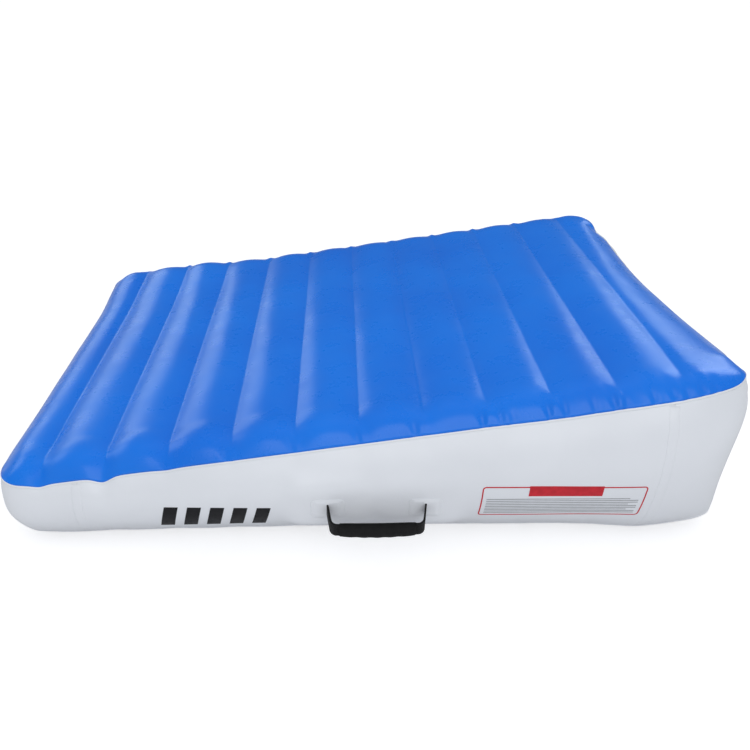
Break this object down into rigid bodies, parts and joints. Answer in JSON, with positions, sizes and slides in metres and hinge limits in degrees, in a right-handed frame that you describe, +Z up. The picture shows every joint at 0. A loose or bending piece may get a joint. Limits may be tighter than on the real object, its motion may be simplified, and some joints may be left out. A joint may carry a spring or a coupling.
{
  "type": "inflatable springboard ramp",
  "caption": "Inflatable wedge ramp for gymnastics: blue tubed top on bulging white side walls, with inner webs, swinging carry handles and an inflation valve.",
  "frame": {"origin": "middle of the bounding box, on the ground", "axes": "+X from the low end to the tall end, +Y across to the far long side, +Z up"},
  "size_m": [2.036, 1.5196, 0.5253],
  "materials": {
    "blue_pvc": "glossy coated PVC sheet",
    "white_pvc": "satin coated PVC sheet",
    "web_fabric": "plain coated fabric",
    "webbing": "woven webbing",
    "grip_rubber": "matte moulded rubber",
    "seal_rubber": "matte",
    "valve_plastic": "moulded",
    "stem_plastic": "moulded",
    "button_plastic": "moulded",
    "spring_steel": "bright wire"
  },
  "bodies": {
    "ramp": {"bottom_panel": "white_pvc", "far_handle_patch_left": "white_pvc", "far_handle_patch_right": "white_pvc", "far_handle_strap_end_left": "webbing", "far_handle_strap_end_right": "webbing", "far_side_wall": "white_pvc", "high_end_wall": "white_pvc", "low_end_wall": "white_pvc", "near_handle_patch_left": "white_pvc", "near_handle_patch_right": "white_pvc", "near_handle_strap_end_left": "webbing", "near_handle_strap_end_right": "webbing", "near_side_wall": "white_pvc", "top_panel": "blue_pvc", "valve_base": "valve_plastic", "valve_collar": "valve_plastic", "valve_gasket": "seal_rubber", "valve_spider": "valve_plastic", "valve_spring": "spring_steel", "valve_tether": "valve_plastic", "web_01": "web_fabric", "web_02": "web_fabric", "web_03": "web_fabric", "web_04": "web_fabric", "web_05": "web_fabric", "web_06": "web_fabric", "web_07": "web_fabric", "web_08": "web_fabric", "web_09": "web_fabric", "web_10": "web_fabric", "web_11": "web_fabric"},
    "near_handle": {"near_handle_strap": "webbing", "near_handle_grip": "grip_rubber"},
    "far_handle": {"far_handle_strap": "webbing", "far_handle_grip": "grip_rubber"},
    "valve_plunger": {"valve_stem": "stem_plastic"},
    "valve_button": {"valve_button": "button_plastic"},
    "valve_cap_ring": {"valve_cap_ring": "valve_plastic"},
    "valve_cap": {"valve_cap": "valve_plastic", "valve_cap_seal": "seal_rubber"}
  },
  "joints": [
    {"name": "near_handle_swing", "type": "hinge", "parent": "ramp", "child": "near_handle", "pos_m": [0, -0.6985, 0.163], "axis": [-1, 0, 0], "range_deg": [-15, 60], "stiffness_Nm_per_rad": 1.2, "springref_deg": 2.58},
    {"name": "far_handle_swing", "type": "hinge", "parent": "ramp", "child": "far_handle", "pos_m": [0, 0.6985, 0.163], "axis": [1, 0, 0], "range_deg": [-15, 60], "stiffness_Nm_per_rad": 1.2, "springref_deg": 2.58},
    {"name": "valve_plunger_slide", "type": "slide", "parent": "ramp", "child": "valve_plunger", "axis": [-1, 0, 0], "range_m": [0, 0.005], "stiffness_N_per_m": 600, "springref_m": -0.004, "deforming": ["valve_spring"]},
    {"name": "valve_button_turn", "type": "hinge", "parent": "valve_plunger", "child": "valve_button", "pos_m": [1.00185, 0.439, 0.2], "axis": [-1, 0, 0], "range_deg": [0, 90]},
    {"name": "valve_cap_lift", "type": "slide", "parent": "ramp", "child": "valve_cap_ring", "axis": [1, 0, 0], "range_m": [0, 0.008], "deforming": ["valve_tether"]},
    {"name": "valve_cap_turn", "type": "hinge", "parent": "valve_cap_ring", "child": "valve_cap", "pos_m": [1.00185, 0.439, 0.2], "axis": [1, 0, 0], "range_deg": [0, 360]}
  ],
  "couplings": [
    {"joint": "valve_cap_lift", "follows": "valve_cap_turn", "m_per_rad": 0.0012732}
  ]
}
